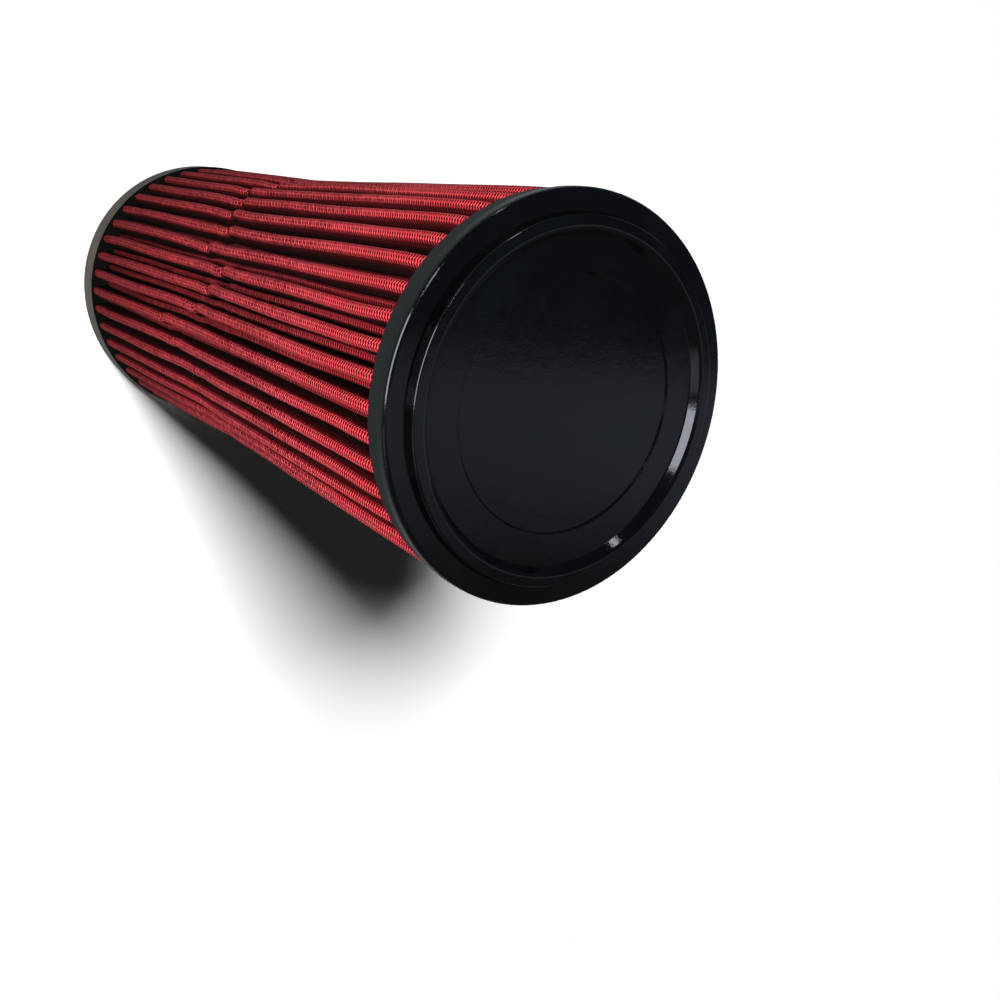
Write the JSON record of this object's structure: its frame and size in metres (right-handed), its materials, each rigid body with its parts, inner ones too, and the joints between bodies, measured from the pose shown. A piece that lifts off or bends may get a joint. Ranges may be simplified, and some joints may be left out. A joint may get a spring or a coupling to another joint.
{
  "type": "performance air filter",
  "caption": "Long round performance air filter: red screened cotton pleats around a metal mesh core, with a cast closed end cap and an open seal ring with the outlet bore.",
  "frame": {"origin": "centre of the open end's face, on the surface that the filter stands on", "axes": "+Z along the filter's axis, from the open end to the closed end"},
  "size_m": [0.15, 0.15, 0.3669],
  "materials": {
    "gloss_cast": "gloss cast polyurethane, black",
    "matt_cast": "dull cast polyurethane, scuffed dark grey",
    "red_screen": "woven wire with red coating, satin",
    "oiled_cotton": "cotton gauze with red oil",
    "core_metal": "slit and stretched sheet, dull"
  },
  "bodies": {
    "root": {"closed_end_cap": "gloss_cast", "open_end_cap": "matt_cast", "outer_screen": "red_screen", "cotton_media": "oiled_cotton", "inner_screen": "red_screen", "core_tube": "core_metal"}
  },
  "joints": []
}
